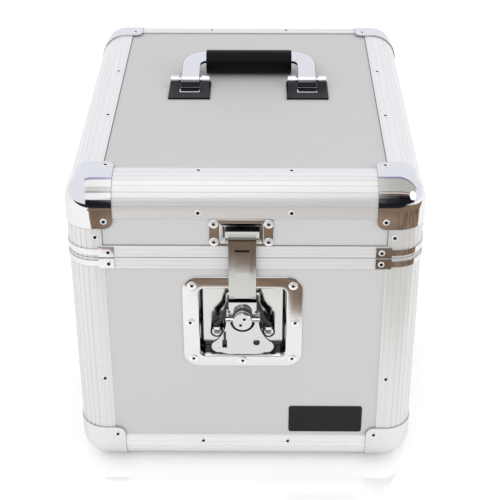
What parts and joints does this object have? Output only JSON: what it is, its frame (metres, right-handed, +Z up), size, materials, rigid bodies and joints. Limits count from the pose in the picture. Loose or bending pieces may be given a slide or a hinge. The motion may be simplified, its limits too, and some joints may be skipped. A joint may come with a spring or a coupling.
{
  "type": "record carrying case",
  "caption": "Carrying case for records with laminated panels, rounded aluminium edges, ball corners, a hinged lid, a folding top handle and a recessed twist latch.",
  "frame": {"origin": "centre of the bounding box's bottom face, at the bottom of the feet", "axes": "+Z up, front with the latch towards -Y, lid hinge at the back towards +Y, +X to the right seen from the front"},
  "size_m": [0.3586, 0.454, 0.3717],
  "materials": {
    "laminate": "light grey laminate face, satin",
    "extrusion": "satin anodised, fluted",
    "bright_steel": "bright nickel plate",
    "rivet_steel": "bright",
    "feet_rubber": "matt",
    "foam": "soft foam with a napped face",
    "grip_rubber": "satin, smooth",
    "bracket_steel": "dark nickel",
    "plate_black": "plain, satin"
  },
  "bodies": {
    "case": {"base_panel": "laminate", "front_panel": "laminate", "back_panel": "laminate", "left_panel": "laminate", "right_panel": "laminate", "base_edge_front": "extrusion", "base_edge_back": "extrusion", "base_edge_left": "extrusion", "base_edge_right": "extrusion", "body_post_front_left": "extrusion", "body_post_front_right": "extrusion", "body_post_back_left": "extrusion", "body_post_back_right": "extrusion", "body_rim_front": "extrusion", "body_rim_back": "extrusion", "body_rim_left": "extrusion", "body_rim_right": "extrusion", "base_ball_corners": "bright_steel", "body_rim_clips": "bright_steel", "rubber_feet": "feet_rubber", "foot_screws": "bright_steel", "body_rivets": "rivet_steel", "latch_dish": "bright_steel", "hinge_body_leaves": "bright_steel", "hinge_pins": "bright_steel", "base_pad": "foam", "wall_lining": "foam", "badge_plate": "plate_black"},
    "lid": {"lid_top_panel": "laminate", "lid_front_panel": "laminate", "lid_back_panel": "laminate", "lid_left_panel": "laminate", "lid_right_panel": "laminate", "lid_edge_front": "extrusion", "lid_edge_back": "extrusion", "lid_edge_left": "extrusion", "lid_edge_right": "extrusion", "lid_posts": "extrusion", "lid_rim_front": "extrusion", "lid_rim_back": "extrusion", "lid_rim_left": "extrusion", "lid_rim_right": "extrusion", "lid_ball_corners": "bright_steel", "lid_rim_clips": "bright_steel", "lid_rivets": "rivet_steel", "keeper_plate": "bright_steel", "handle_brackets": "bracket_steel", "handle_pins": "bright_steel", "hinge_lid_leaves": "bright_steel", "lid_pad": "foam"},
    "handle": {"handle_bail": "bright_steel", "handle_grip": "grip_rubber"},
    "latch_key": {"latch_stud": "bright_steel", "latch_cam": "bright_steel", "key_pin": "bright_steel"},
    "folding_key": {"key_plate": "bright_steel"},
    "slider": {"latch_slider": "bright_steel", "strap_pins": "bright_steel"},
    "strap": {"latch_strap": "bright_steel"}
  },
  "joints": [
    {"name": "lid_hinge", "type": "hinge", "parent": "case", "child": "lid", "pos_m": [0, 0.2225, 0.264], "axis": [-1, 0, 0], "range_deg": [0, 100]},
    {"name": "handle_swing", "type": "hinge", "parent": "lid", "child": "handle", "pos_m": [0.0015, 0.0235, 0.3514], "axis": [1, 0, 0], "range_deg": [0, 80]},
    {"name": "latch_turn", "type": "hinge", "parent": "case", "child": "latch_key", "pos_m": [-0.0025, -0.214, 0.1956], "axis": [0, -1, 0], "range_deg": [0, 180]},
    {"name": "key_fold", "type": "hinge", "parent": "latch_key", "child": "folding_key", "pos_m": [-0.0025, -0.222, 0.1956], "axis": [-1, 0, 0], "range_deg": [0, 90]},
    {"name": "latch_lift", "type": "slide", "parent": "case", "child": "slider", "axis": [0, 0, 1], "range_m": [0, 0.005]},
    {"name": "strap_tilt", "type": "hinge", "parent": "slider", "child": "strap", "pos_m": [-0.0025, -0.2115, 0.1766], "axis": [1, 0, 0], "range_deg": [-1.5, 22]}
  ],
  "couplings": [
    {"joint": "key_fold", "follows": "latch_turn", "ratio": 0.5},
    {"joint": "latch_lift", "follows": "latch_turn", "m_per_rad": 0.0015915}
  ]
}
